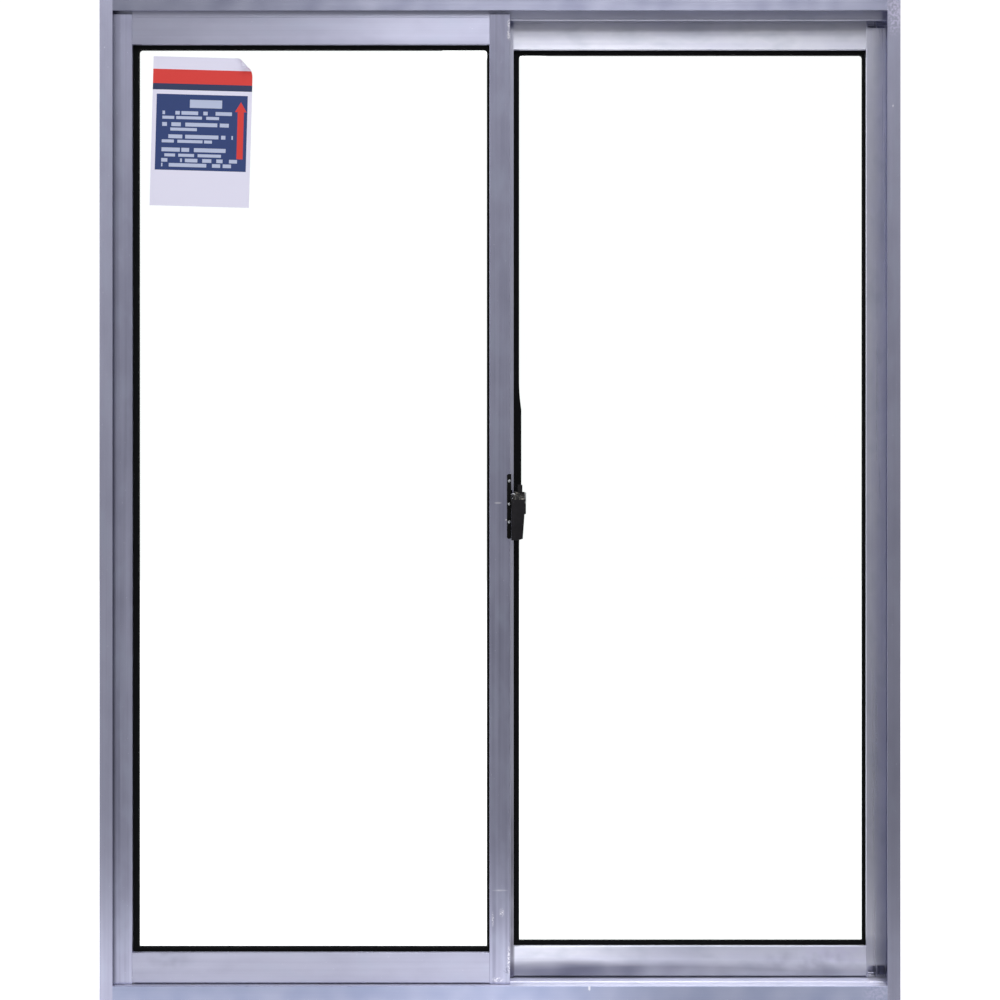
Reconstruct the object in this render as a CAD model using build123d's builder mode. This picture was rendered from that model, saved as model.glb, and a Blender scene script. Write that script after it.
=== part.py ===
from build123d import *
import os

os.makedirs("parts", exist_ok=True)

# Two-sash sliding window of extruded aluminium, seen from the room side.
# X runs to the right, Y away from the room (outside is +Y), Z up.
# The origin is under the middle of the sill. Sizes are in millimetres.

# Outer frame
window_width = 800.0
window_height = 1000.0
frame_depth = 54.0
frame_wall = 1.3
sill_lip_height = 14.5
head_lip_height = 11.0
jamb_lip_width = 13.0
frame_edge_radius = 0.4

# Ribs that guide the sashes; a jamb has a long one for its sash and a short one in the free track
track_pitch = 24.0
rib_wall = 1.4
sill_rib_height = 15.5
head_rib_height = 18.0
jamb_rib_length = 14.0
jamb_short_rib_length = 6.0
rib_bead_radius = 1.2
rib_end_gap = 0.3

# Screw ports in sill and head, and the holes for them in the jambs
port_outer_radius = 3.4
port_bore_radius = 1.9
port_mouth_width = 1.6
port_spacing = 11.0
port_floor = 0.6
assembly_hole_diameter = 4.2

# Holes that screw the jambs to the wall
fixing_hole_diameter = 6.0
fixing_hole_spacing = 600.0

# Drain slots through the sill's deck behind the rear track, and through its outside lip
drain_slot_length = 22.0
drain_slot_height = 4.0
drain_slot_spacing = 320.0
drain_slot_count = 3

# Sashes
stile_overlap = 16.7
sash_depth = 18.0
sash_wall = 1.4
stile_width = 20.5
bottom_rail_height = 30.0
top_rail_height = 34.5
rail_foot_gap = 1.8
stile_foot_gap = 0.6
lift_room = 7.7
stile_head_drop = 4.5
front_sash_gap = 9.7
rear_sash_gap = 6.4
sash_edge_radius = 0.5

# Mouths and webs of the sash profiles
stile_groove_depth = 9.0
glass_pocket_depth = 10.1
glass_mouth_width = 9.0
outer_mouth_lip = 2.0
outer_mouth_wall = 1.2
rail_line_drop = 8.0
rail_line_width = 0.6
rail_line_depth = 0.3
rib_notch_width = 6.0
rib_notch_clearance = 2.0
flange_foot_notch = 11.7
flange_head_notch = 8.1

# Hooks in the gap between the two meeting stiles
hook_wall = 1.2
hook_gap = 1.0
hook_length = 9.2

# Glass and its rubber
glass_thickness = 3.0
glass_bite = 6.5
gasket_bite = 8.0
gasket_show = 4.2
gasket_lip_width = 6.0
gasket_lean = 1.5
gasket_corner_radius = 3.0

# Rollers under each sash
wheel_radius = 8.4
wheel_groove_radius = 7.6
wheel_groove_half_width = 1.6
wheel_width = 7.6
wheel_bore_radius = 2.15
axle_radius = 2.0
wheel_seat_gap = 0.2
roller_inset = 55.0
housing_length = 34.0
housing_wall = 1.3
housing_side_gap = 0.2
housing_top_gap = 0.2
housing_drop = 14.6

# Slides in the top rails and brush seals in the outer stiles
slide_length = 26.0
slide_side_gap = 0.2
slide_top_gap = 0.2
slide_slot_width = 3.0
slide_slot_floor_gap = 2.0
pile_width = 5.0
pile_rib_gap = 0.3

# Latch on the edge of the front meeting stile
latch_center_height = 493.5
latch_plate_length = 65.0
latch_flange_width = 3.0
latch_flange_wall = 1.2
latch_side_wall = 1.2
latch_side_depth = 14.0
latch_plate_radius = 4.0
latch_flange_radius = 2.0
plate_ear_radius = 5.0
pivot_rise = 7.0
pivot_reach = 2.5
pivot_radius = 1.5
pivot_bore_radius = 1.6
barrel_radius = 7.2
lever_width = 12.3
lever_foot_width = 10.0
lever_length = 40.5
lever_foot_depth = 4.2
lever_foot_slant = 1.5
lever_flare = 1.5
lever_root_depth = 3.0
lever_gap = 0.3
skirt_clearance = 0.6
knob_width = 4.6
knob_depth = 4.0
knob_inset = 5.1
knob_height = 7.5
cheek_wall = 0.8
cheek_width = 7.0
cheek_rise = 7.1
cheek_drop = 3.5
tab_length = 10.7
tab_reach = 0.9
pawl_wall = 1.0
pawl_gap = 0.2
pawl_height = 7.0
pawl_tip_length = 1.5
pawl_tip_gap = 0.6
pawl_tip_drop = 6.0
keeper_clearance = 0.35
keeper_half_height = 9.0

# Heights and places that follow from the sizes above
half_width = window_width / 2
half_depth = frame_depth / 2
track_offset = track_pitch / 2
web_face = half_width - frame_wall
sash_width = (2 * web_face - front_sash_gap - rear_sash_gap + stile_overlap) / 2
port_height = frame_wall + port_floor + port_bore_radius
rail_foot = sill_lip_height + rail_foot_gap
rail_head = window_height - frame_wall - lift_room
stile_foot = sill_lip_height + stile_foot_gap
stile_head = rail_head - stile_head_drop
head_rib_foot = window_height - head_rib_height
opening_foot = rail_foot + bottom_rail_height
opening_head = rail_head - top_rail_height
opening_height = opening_head - opening_foot
opening_width = sash_width - 2 * stile_width
rail_length = opening_width
flange_half_gap = sash_depth / 2 - sash_wall
mouth_lip = flange_half_gap - glass_mouth_width / 2
sash_gap = track_pitch - sash_depth
front_sash_left = front_sash_gap - web_face
rear_sash_right = web_face - rear_sash_gap
front_stile_edge = front_sash_left + sash_width
free_channel = (track_offset + half_depth) / 2

# Latch: the side plate stands on the stile edge, then the pawl, then the lever
pivot_height = latch_center_height + pivot_rise
front_face = -track_offset - sash_depth / 2
plate_outer = front_stile_edge + latch_side_wall
pawl_left = plate_outer + pawl_gap
pawl_middle = pawl_left + pawl_wall / 2
lever_left = pawl_left + pawl_wall + lever_gap
pivot_depth = front_face - pivot_reach
keeper_flange = track_offset - sash_depth / 2
knob_left = lever_left + knob_inset
pawl_reach = keeper_flange + sash_wall + pawl_tip_gap + pawl_tip_length - pivot_depth

# Rollers and slides, seated on the sill rib and in the rail channels
axle_height = sill_rib_height + wheel_seat_gap + wheel_groove_radius
housing_head = opening_foot - glass_pocket_depth - sash_wall - housing_top_gap
slide_foot = opening_head + glass_pocket_depth + sash_wall
slide_head = rail_head - outer_mouth_wall - slide_top_gap

# Each sash has its own frame: x from the outer stile to the meeting stile, y towards
# the other sash, z up. The rear sash is the front one turned about the upright axis.
sash_planes = {
    "front": Plane(origin=(front_sash_left, -track_offset, 0), x_dir=(1, 0, 0), z_dir=(0, 0, 1)),
    "rear": Plane(origin=(rear_sash_right, track_offset, 0), x_dir=(-1, 0, 0), z_dir=(0, 0, 1)),
}


def cross_plane(sash, distance):
    """Plane across a sash, its x along the sash depth and its y up."""
    origin = sash.from_local_coords(Vector(distance, 0, 0))
    return Plane(origin=origin, x_dir=sash.y_dir, z_dir=sash.x_dir)


def face_plane(sash, depth, distance, height):
    """Plane parallel to the glass, its x along the sash width and its y up."""
    origin = sash.from_local_coords(Vector(distance, depth, height))
    return Plane(origin=origin, x_dir=sash.x_dir, z_dir=-sash.y_dir)


def save(piece, name):
    """Label a finished piece and write it as its own file."""
    piece.label = name
    export_step(piece, f"parts/{name}.step")


def outer_corners(section, axis):
    """Corners of a section that lie on its two outermost faces along one axis."""
    rows = section.vertices().group_by(axis)
    return rows[0] + rows[-1]


def track_profile(front_lip, rear_lip, rib_height):
    """Sill or head section: a flat web with two lips, two beaded ribs and two screw ports."""
    Rectangle(frame_depth, frame_wall, align=(Align.CENTER, Align.MIN))
    with Locations((-half_depth, 0)):
        Rectangle(frame_wall, front_lip, align=(Align.MIN, Align.MIN))
    with Locations((half_depth, 0)):
        Rectangle(frame_wall, rear_lip, align=(Align.MAX, Align.MIN))
    with Locations((-track_offset, 0), (track_offset, 0)):
        Rectangle(rib_wall, rib_height - rib_bead_radius, align=(Align.CENTER, Align.MIN))
        with Locations((0, rib_height - rib_bead_radius)):
            Circle(rib_bead_radius)
    with Locations((-port_spacing / 2, port_height), (port_spacing / 2, port_height)):
        Circle(port_outer_radius)
        Circle(port_bore_radius, mode=Mode.SUBTRACT)
        Rectangle(
            port_mouth_width,
            2 * port_outer_radius,
            align=(Align.CENTER, Align.MIN),
            mode=Mode.SUBTRACT,
        )


def clear_jamb_lips(lip_height):
    """Cut the ends of sill or head back so that the jamb lips run past them."""
    for end in (-1, 1):
        for side in (-1, 1):
            with Locations((end * web_face, side * half_depth, 0)):
                Box(
                    2 * (web_face - half_width + jamb_lip_width),
                    2 * frame_wall,
                    4 * lip_height,
                    mode=Mode.SUBTRACT,
                )


# Sill: a closed box whose deck lies level with its lips, with the two track beads on it
with BuildPart() as frame_sill:
    with BuildSketch(Plane.YZ.offset(-web_face)) as section:
        track_profile(sill_lip_height, sill_lip_height, sill_rib_height)
        with Locations((0, sill_lip_height)):
            Rectangle(frame_depth, frame_wall, align=(Align.CENTER, Align.MAX))
        fillet(outer_corners(section, Axis.X), radius=frame_edge_radius)
    extrude(amount=2 * web_face)
    clear_jamb_lips(sill_lip_height)
    with BuildSketch(Plane.XZ.offset(-half_depth)):
        with Locations((0, frame_wall + drain_slot_height)):
            with GridLocations(drain_slot_spacing, 1, drain_slot_count, 1):
                SlotOverall(drain_slot_length, drain_slot_height)
    extrude(amount=2 * frame_wall, mode=Mode.SUBTRACT)
    with BuildSketch(Plane.XY.offset(sill_lip_height)):
        with Locations((0, free_channel)):
            with GridLocations(drain_slot_spacing, 1, drain_slot_count, 1):
                SlotOverall(drain_slot_length, drain_slot_height)
    extrude(amount=-frame_wall, mode=Mode.SUBTRACT)
save(frame_sill.part, "frame_sill")

# Head: the sill section turned over, with shallower lips and deeper ribs
with BuildPart() as frame_head:
    head_plane = Plane(origin=(web_face, 0, window_height), x_dir=(0, 1, 0), z_dir=(-1, 0, 0))
    with BuildSketch(head_plane) as section:
        track_profile(head_lip_height, head_lip_height, head_rib_height)
        fillet(outer_corners(section, Axis.X), radius=frame_edge_radius)
    extrude(amount=2 * web_face)
    with Locations((0, 0, window_height)):
        clear_jamb_lips(head_lip_height)
save(frame_head.part, "frame_head")


def jamb_shape():
    """Left jamb: web and lips over the full height, ribs only between sill and head."""
    with BuildPart() as jamb:
        with BuildSketch(Plane.XY):
            with Locations((-half_width, 0)):
                Rectangle(frame_wall, frame_depth, align=(Align.MIN, Align.CENTER))
            with Locations((-half_width, -half_depth)):
                Rectangle(jamb_lip_width, frame_wall, align=(Align.MIN, Align.MIN))
            with Locations((-half_width, half_depth)):
                Rectangle(jamb_lip_width, frame_wall, align=(Align.MIN, Align.MAX))
        extrude(amount=window_height)
        with BuildSketch(Plane.XY.offset(sill_rib_height + rib_end_gap)):
            for track, length in ((-track_offset, jamb_rib_length), (track_offset, jamb_short_rib_length)):
                with Locations((-half_width, track)):
                    Rectangle(
                        frame_wall + length - rib_bead_radius,
                        rib_wall,
                        align=(Align.MIN, Align.CENTER),
                    )
                with Locations((length - rib_bead_radius - web_face, track)):
                    Circle(rib_bead_radius)
        extrude(amount=head_rib_foot - sill_rib_height - 2 * rib_end_gap)
        back_edges = jamb.edges().filter_by(Axis.Z).group_by(Axis.X)[0]
        fillet(back_edges, radius=frame_edge_radius)
        with BuildSketch(Plane.YZ.offset(-half_width)):
            with Locations(
                (-port_spacing / 2, port_height),
                (port_spacing / 2, port_height),
                (-port_spacing / 2, window_height - port_height),
                (port_spacing / 2, window_height - port_height),
            ):
                Circle(assembly_hole_diameter / 2)
            with Locations((free_channel, window_height / 2)):
                with GridLocations(1, fixing_hole_spacing, 1, 2):
                    Circle(fixing_hole_diameter / 2)
        extrude(amount=frame_wall, mode=Mode.SUBTRACT)
    return jamb.part


# Both jambs are cut from one extrusion: the right one is the left one turned round
save(jamb_shape(), "frame_jamb_left")

with BuildPart() as frame_jamb_right:
    add(jamb_shape(), rotation=(0, 0, 180))
save(frame_jamb_right.part, "frame_jamb_right")


def stile_section(closed):
    """Stile section from its outer edge inwards: two flanges, a web and the glass mouth."""
    for side in (-1, 1):
        with Locations((0, side * (sash_depth - sash_wall) / 2)):
            Rectangle(stile_width, sash_wall, align=(Align.MIN, Align.CENTER))
        with Locations((stile_width, side * (flange_half_gap - mouth_lip / 2))):
            Rectangle(sash_wall, mouth_lip, align=(Align.MAX, Align.CENTER))
    with Locations((stile_groove_depth, 0)):
        Rectangle(sash_wall, 2 * flange_half_gap, align=(Align.MIN, Align.CENTER))
    if closed:
        Rectangle(sash_wall, 2 * flange_half_gap, align=(Align.MIN, Align.CENTER))
    else:
        for side in (-1, 1):
            with Locations((0, side * (flange_half_gap - outer_mouth_lip / 2))):
                Rectangle(outer_mouth_wall, outer_mouth_lip, align=(Align.MIN, Align.CENTER))


def rib_notches(edge):
    """Notches at the foot and head of a stile, clear of the ribs of sill and head."""
    with Locations((0, sill_rib_height + rib_notch_clearance)):
        Rectangle(stile_width, sill_rib_height, align=(edge, Align.MAX))
    with Locations((0, head_rib_foot - rib_notch_clearance)):
        Rectangle(stile_width, head_rib_height, align=(edge, Align.MIN))


def outer_stile(sash):
    """Stile that runs over the jamb rib; the flange on its inner side is cut away at both ends."""
    with BuildPart() as stile:
        with BuildSketch(sash.offset(stile_foot)) as section:
            stile_section(closed=False)
            fillet(outer_corners(section, Axis.Y), radius=sash_edge_radius)
        extrude(amount=stile_head - stile_foot)
        with BuildSketch(face_plane(sash, 0, 0, 0)):
            rib_notches(Align.MIN)
        extrude(amount=rib_notch_width / 2, both=True, mode=Mode.SUBTRACT)
        with BuildSketch(face_plane(sash, sash_depth / 2, 0, 0)):
            with Locations((0, stile_foot)):
                Rectangle(stile_width - sash_wall, flange_foot_notch, align=(Align.MIN, Align.MIN))
            with Locations((0, stile_head)):
                Rectangle(stile_width - sash_wall, flange_head_notch, align=(Align.MIN, Align.MAX))
        extrude(amount=sash_wall, mode=Mode.SUBTRACT)
    return stile.part


def meeting_stile(sash):
    """Closed stile with the hook that meets the other sash."""
    stile_plane = Plane(
        origin=sash.from_local_coords(Vector(sash_width, 0, stile_foot)),
        x_dir=-sash.x_dir,
        z_dir=-sash.z_dir,
    )
    hook_reach = sash_gap - hook_gap
    with BuildPart() as stile:
        with BuildSketch(stile_plane) as section:
            stile_section(closed=True)
            with Locations((0, sash_depth / 2)):
                Rectangle(hook_wall, hook_reach, align=(Align.MIN, Align.MIN))
            with Locations((0, sash_depth / 2 + hook_reach)):
                Rectangle(hook_length, hook_wall, align=(Align.MIN, Align.MAX))
            fillet(outer_corners(section, Axis.Y), radius=sash_edge_radius)
        extrude(amount=stile_foot - stile_head)
        with BuildSketch(face_plane(sash, 0, sash_width, 0)):
            rib_notches(Align.MAX)
        extrude(amount=rib_notch_width / 2, both=True, mode=Mode.SUBTRACT)
    return stile.part


def rail_section(height):
    """Rail section from its glass mouth at y = 0 down to its open channel."""
    for side in (-1, 1):
        with Locations((side * (sash_depth - sash_wall) / 2, 0)):
            Rectangle(sash_wall, height, align=(Align.CENTER, Align.MAX))
        with Locations((side * (flange_half_gap - mouth_lip / 2), 0)):
            Rectangle(mouth_lip, sash_wall, align=(Align.CENTER, Align.MAX))
        with Locations((side * (flange_half_gap - outer_mouth_lip / 2), -height)):
            Rectangle(outer_mouth_lip, outer_mouth_wall, align=(Align.CENTER, Align.MIN))
    with Locations((0, -glass_pocket_depth)):
        Rectangle(2 * flange_half_gap, sash_wall, align=(Align.CENTER, Align.MAX))


def bottom_rail(sash):
    """Bottom rail: glass pocket above, roller channel below."""
    section = cross_plane(sash, stile_width)
    section.origin += Vector(0, 0, opening_foot)
    with BuildPart() as rail:
        with BuildSketch(section) as profile:
            rail_section(bottom_rail_height)
            fillet(outer_corners(profile, Axis.X), radius=sash_edge_radius)
        extrude(amount=rail_length)
    return rail.part


def top_rail(sash):
    """Top rail: glass pocket below, channel for the head rib above, a fine line along each face."""
    section = Plane(
        origin=sash.from_local_coords(Vector(stile_width + rail_length, 0, opening_head)),
        x_dir=sash.y_dir,
        z_dir=-sash.x_dir,
    )
    with BuildPart() as rail:
        with BuildSketch(section) as profile:
            rail_section(top_rail_height)
            fillet(outer_corners(profile, Axis.X), radius=sash_edge_radius)
            with Locations((-sash_depth / 2, rail_line_drop - top_rail_height)):
                Rectangle(2 * rail_line_depth, rail_line_width, mode=Mode.SUBTRACT)
            with Locations((sash_depth / 2, rail_line_drop - top_rail_height)):
                Rectangle(2 * rail_line_depth, rail_line_width, mode=Mode.SUBTRACT)
        extrude(amount=rail_length)
    return rail.part


def glass_pane(sash):
    """Single clear pane."""
    with BuildPart() as pane:
        with BuildSketch(face_plane(sash, 0, sash_width / 2, (opening_foot + opening_head) / 2)):
            Rectangle(opening_width + 2 * glass_bite, opening_height + 2 * glass_bite)
        extrude(amount=glass_thickness / 2, both=True)
    return pane.part


def gasket_ring(sash):
    """Rubber channel that fills the mouth of the sash, with slimmer lips that show on the pane."""
    with BuildPart() as ring:
        middle = face_plane(sash, 0, sash_width / 2, (opening_foot + opening_head) / 2)
        with BuildSketch(middle):
            Rectangle(opening_width + 2 * gasket_bite, opening_height + 2 * gasket_bite)
            Rectangle(opening_width, opening_height, mode=Mode.SUBTRACT)
        extrude(amount=glass_mouth_width / 2, both=True)
        with BuildSketch(middle):
            Rectangle(opening_width, opening_height)
            with BuildSketch(mode=Mode.PRIVATE) as sight:
                with Locations((gasket_lean * sash.x_dir.X, 0)):
                    edge = Rectangle(opening_width - 2 * gasket_show, opening_height - 2 * gasket_show)
                fillet(edge.vertices().sort_by(Axis.Y)[-2:], radius=gasket_corner_radius)
            add(sight.sketch, mode=Mode.SUBTRACT)
        extrude(amount=gasket_lip_width / 2, both=True)
        with BuildSketch(middle):
            Rectangle(opening_width + 2 * glass_bite, opening_height + 2 * glass_bite)
        extrude(amount=glass_thickness / 2, both=True, mode=Mode.SUBTRACT)
    return ring.part


def roller_places(sash):
    """Middle planes of the two rollers of a sash, with x along the sash depth and y up."""
    insets = (stile_width + roller_inset, sash_width - stile_width - roller_inset)
    return [cross_plane(sash, inset) for inset in insets]


def wheel_pair(sash):
    """Two grooved wheels that run on the bead of the sill rib."""
    with BuildPart() as wheels:
        for place in roller_places(sash):
            axle = Plane(
                origin=place.from_local_coords(Vector(0, axle_height, 0)),
                x_dir=(0, 0, 1),
                z_dir=place.z_dir,
            )
            with BuildSketch(axle) as half_wheel:
                with BuildLine():
                    Polyline(
                        (wheel_bore_radius, -wheel_width / 2),
                        (wheel_radius, -wheel_width / 2),
                        (wheel_radius, -wheel_groove_half_width - wheel_radius + wheel_groove_radius),
                        (wheel_groove_radius, -wheel_groove_half_width / 2),
                        (wheel_groove_radius, wheel_groove_half_width / 2),
                        (wheel_radius, wheel_groove_half_width + wheel_radius - wheel_groove_radius),
                        (wheel_radius, wheel_width / 2),
                        (wheel_bore_radius, wheel_width / 2),
                        close=True,
                    )
                make_face()
            revolve(half_wheel.sketch, axis=Axis(axle.origin, axle.y_dir))
    return wheels.part


def housing_pair(sash):
    """Two pressed housings in the channel of the bottom rail, each with its riveted axle."""
    half_outside = flange_half_gap - housing_side_gap
    half_inside = half_outside - housing_wall
    with BuildPart() as housings:
        for place in roller_places(sash):
            roof = Plane(
                origin=place.from_local_coords(Vector(0, housing_head, 0)),
                x_dir=place.x_dir,
                z_dir=place.z_dir,
            )
            with BuildSketch(roof) as bent_sheet:
                Rectangle(2 * half_outside, housing_drop, align=(Align.CENTER, Align.MAX))
                with Locations((0, -housing_wall)):
                    Rectangle(
                        2 * half_inside,
                        housing_drop,
                        align=(Align.CENTER, Align.MAX),
                        mode=Mode.SUBTRACT,
                    )
            extrude(bent_sheet.sketch, amount=housing_length / 2, both=True)
            pin = Plane(
                origin=place.from_local_coords(Vector(0, axle_height, 0)),
                x_dir=(0, 0, 1),
                z_dir=place.x_dir,
            )
            with BuildSketch(pin) as axle_circle:
                Circle(axle_radius)
            extrude(axle_circle.sketch, amount=half_outside, both=True)
    return housings.part


def slide_pair(sash):
    """Two plastic slides in the channel of the top rail, slotted for the head rib."""
    insets = (stile_width + slide_length / 2, sash_width - stile_width - slide_length / 2)
    with BuildPart() as slides:
        for inset in insets:
            place = cross_plane(sash, inset)
            seat = Plane(
                origin=place.from_local_coords(Vector(0, slide_foot, 0)),
                x_dir=place.x_dir,
                z_dir=place.z_dir,
            )
            with BuildSketch(seat) as block:
                Rectangle(
                    2 * (flange_half_gap - slide_side_gap),
                    slide_head - slide_foot,
                    align=(Align.CENTER, Align.MIN),
                )
                with Locations((0, head_rib_foot - slide_slot_floor_gap - slide_foot)):
                    Rectangle(
                        slide_slot_width,
                        head_rib_height,
                        align=(Align.CENTER, Align.MIN),
                        mode=Mode.SUBTRACT,
                    )
            extrude(block.sketch, amount=slide_length / 2, both=True)
    return slides.part


def pile_pair(sash):
    """Two brush strips in the outer stile, one on each side of the jamb rib."""
    pile_foot = stile_foot + flange_foot_notch
    pile_head = stile_head - flange_head_notch
    with BuildPart() as piles:
        with BuildSketch(sash.offset(pile_foot)):
            for side in (-1, 1):
                inner = rib_bead_radius + pile_rib_gap
                with Locations((outer_mouth_wall, side * (flange_half_gap + inner) / 2)):
                    Rectangle(pile_width, flange_half_gap - inner, align=(Align.MIN, Align.CENTER))
        extrude(amount=pile_head - pile_foot)
    return piles.part


for side, sash in sash_planes.items():
    save(outer_stile(sash), f"{side}_outer_stile")
    save(bottom_rail(sash), f"{side}_bottom_rail")
    save(top_rail(sash), f"{side}_top_rail")
    save(glass_pane(sash), f"{side}_glass")
    save(gasket_ring(sash), f"{side}_gasket")
    save(wheel_pair(sash), f"{side}_roller_wheels")
    save(housing_pair(sash), f"{side}_roller_housings")
    save(slide_pair(sash), f"{side}_top_slides")
    save(pile_pair(sash), f"{side}_brush_seals")

save(meeting_stile(sash_planes["front"]), "front_meeting_stile")

# The rear meeting stile is slotted for the pawl of the latch
with BuildPart() as rear_meeting_stile:
    add(meeting_stile(sash_planes["rear"]))
    with BuildSketch(Plane.XY.offset(pivot_height)):
        with Locations((pawl_middle, keeper_flange)):
            Rectangle(pawl_wall + 2 * keeper_clearance, 4 * sash_wall)
    extrude(amount=keeper_half_height, both=True, mode=Mode.SUBTRACT)
save(rear_meeting_stile.part, "rear_meeting_stile")

# Latch plate: a side plate on the edge of the stile with a narrow flange over its face
with BuildPart() as latch_plate:
    with BuildSketch(Plane.YZ.offset(front_stile_edge)):
        with Locations((front_face - latch_flange_wall + latch_side_depth / 2, latch_center_height)):
            RectangleRounded(latch_side_depth, latch_plate_length, latch_plate_radius)
    extrude(amount=latch_side_wall)
    with BuildSketch(Plane.XZ.offset(-front_face)):
        with Locations((plate_outer, latch_center_height)):
            RectangleRounded(
                latch_flange_width + latch_side_wall,
                latch_plate_length,
                latch_flange_radius,
                align=(Align.MAX, Align.CENTER),
            )
    extrude(amount=latch_flange_wall)
    with BuildSketch(Plane.YZ.offset(front_stile_edge)):
        with Locations((pivot_depth, pivot_height)):
            Circle(plate_ear_radius)
    extrude(amount=latch_side_wall)
    with BuildSketch(Plane.YZ.offset(front_stile_edge)):
        with Locations((pivot_depth, pivot_height)):
            Circle(pivot_bore_radius)
    extrude(amount=latch_side_wall, mode=Mode.SUBTRACT)
save(latch_plate.part, "latch_plate")

# Latch lever: a barrel on the pivot, a thumb knob above it and a grip that tapers downwards.
# Its side view is cut to the outline that it shows from the front. A skirt covers the pawl.
with BuildPart() as latch_lever:
    lever_foot = pivot_height - lever_length
    with BuildSketch(Plane.YZ.offset(lever_left)) as side_view:
        with Locations((pivot_depth, pivot_height)):
            Circle(barrel_radius)
        with BuildLine():
            Polyline(
                (pivot_depth - barrel_radius, pivot_height),
                (pivot_depth - barrel_radius - lever_flare, lever_foot),
                (pivot_depth - barrel_radius - lever_flare + lever_foot_depth, lever_foot),
                (pivot_depth + lever_root_depth, pivot_height),
                close=True,
            )
        make_face()
        with Locations((pivot_depth, pivot_height)):
            Rectangle(knob_depth, barrel_radius + knob_height, align=(Align.CENTER, Align.MIN))
    extrude(amount=lever_width)
    with BuildSketch(Plane.XZ.offset(-front_face - sash_depth)) as front_view:
        with BuildLine():
            Polyline(
                (lever_left, pivot_height + barrel_radius),
                (knob_left, pivot_height + barrel_radius),
                (knob_left, pivot_height + barrel_radius + knob_height),
                (knob_left + knob_width, pivot_height + barrel_radius + knob_height),
                (knob_left + knob_width, pivot_height + barrel_radius),
                (lever_left + lever_width, pivot_height + barrel_radius),
                (lever_left + lever_width, pivot_height - barrel_radius),
                (lever_left + lever_foot_width, lever_foot + lever_foot_slant),
                (lever_left + lever_foot_width / 2, lever_foot),
                (lever_left, lever_foot),
                close=True,
            )
        make_face()
    extrude(amount=2 * sash_depth, mode=Mode.INTERSECT)
    with BuildSketch(Plane.YZ.offset(pawl_left)):
        with BuildLine():
            Polyline(
                (pivot_depth - barrel_radius, pivot_height),
                (pivot_depth - barrel_radius - lever_flare, lever_foot),
                (pivot_depth - barrel_radius - lever_flare + lever_foot_depth, lever_foot),
                (pivot_depth, pivot_height - pawl_height / 2 - skirt_clearance),
                (pivot_depth, pivot_height),
                close=True,
            )
        make_face()
        with Locations((pivot_depth, pivot_height)):
            Circle(pawl_height / 2 + skirt_clearance, mode=Mode.SUBTRACT)
    extrude(amount=lever_left - pawl_left)
    with BuildSketch(Plane.YZ.offset(lever_left + lever_foot_width)):
        with Locations((pivot_depth, pivot_height - cheek_drop - lever_gap)):
            Rectangle(cheek_width, tab_length, align=(Align.CENTER, Align.MAX))
    extrude(amount=lever_width - lever_foot_width + tab_reach)
    with Locations(Plane.YZ.offset(lever_left)):
        with Locations((pivot_depth, pivot_height)):
            Cylinder(pivot_bore_radius, 2 * lever_width, mode=Mode.SUBTRACT)
save(latch_lever.part, "latch_lever")

# Pawl: a steel strip on the pivot that reaches through the gap and drops behind the rear stile
with BuildPart() as latch_pawl:
    with BuildSketch(Plane.YZ.offset(pawl_left)):
        with Locations((pivot_depth, pivot_height)):
            Circle(pawl_height / 2)
            Rectangle(pawl_reach, pawl_height, align=(Align.MIN, Align.CENTER))
        with Locations((pivot_depth + pawl_reach, pivot_height + pawl_height / 2)):
            Rectangle(pawl_tip_length, pawl_height + pawl_tip_drop, align=(Align.MAX, Align.MAX))
        with Locations((pivot_depth, pivot_height)):
            Circle(pivot_bore_radius, mode=Mode.SUBTRACT)
    extrude(amount=pawl_wall)
save(latch_pawl.part, "latch_pawl")

# Pivot pin with the sprung cheek on its free end
with BuildPart() as latch_pivot:
    with BuildSketch(Plane.YZ.offset(front_stile_edge)):
        with Locations((pivot_depth, pivot_height)):
            Circle(pivot_radius)
    extrude(amount=lever_left + lever_width + lever_gap - front_stile_edge)
    with BuildSketch(Plane.YZ.offset(lever_left + lever_width + lever_gap)):
        with Locations((pivot_depth, pivot_height + cheek_rise)):
            Rectangle(cheek_width, cheek_rise + cheek_drop, align=(Align.CENTER, Align.MAX))
    extrude(amount=cheek_wall)
save(latch_pivot.part, "latch_pivot")
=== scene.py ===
"""Finishes, fittings and studio for a two-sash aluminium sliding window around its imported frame."""

import logging
from collections.abc import Iterable
from dataclasses import dataclass, replace
from enum import Enum
from math import cos, pi, radians, sin
from random import Random

import bmesh
import bpy
from bmesh.types import BMEdge, BMesh, BMFace, BMVert
from bpy.types import Material, Node, NodeSocket, NodeTree, Object, World
from mathutils import Matrix, Vector


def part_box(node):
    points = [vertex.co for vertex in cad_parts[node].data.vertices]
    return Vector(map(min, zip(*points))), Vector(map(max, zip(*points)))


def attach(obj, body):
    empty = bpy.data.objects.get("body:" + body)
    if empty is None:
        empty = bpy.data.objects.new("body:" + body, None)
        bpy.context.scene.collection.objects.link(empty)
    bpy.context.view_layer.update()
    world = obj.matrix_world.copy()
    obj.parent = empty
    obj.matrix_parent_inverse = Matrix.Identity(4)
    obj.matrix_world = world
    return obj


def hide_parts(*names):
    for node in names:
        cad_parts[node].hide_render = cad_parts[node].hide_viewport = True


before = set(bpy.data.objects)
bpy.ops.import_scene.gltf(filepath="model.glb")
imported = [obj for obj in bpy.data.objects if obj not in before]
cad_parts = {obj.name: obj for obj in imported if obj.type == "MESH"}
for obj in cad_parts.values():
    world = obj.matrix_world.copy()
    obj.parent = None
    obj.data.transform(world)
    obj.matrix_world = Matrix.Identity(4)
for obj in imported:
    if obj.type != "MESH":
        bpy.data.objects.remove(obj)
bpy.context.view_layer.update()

log = logging.getLogger("sliding_window")

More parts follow.
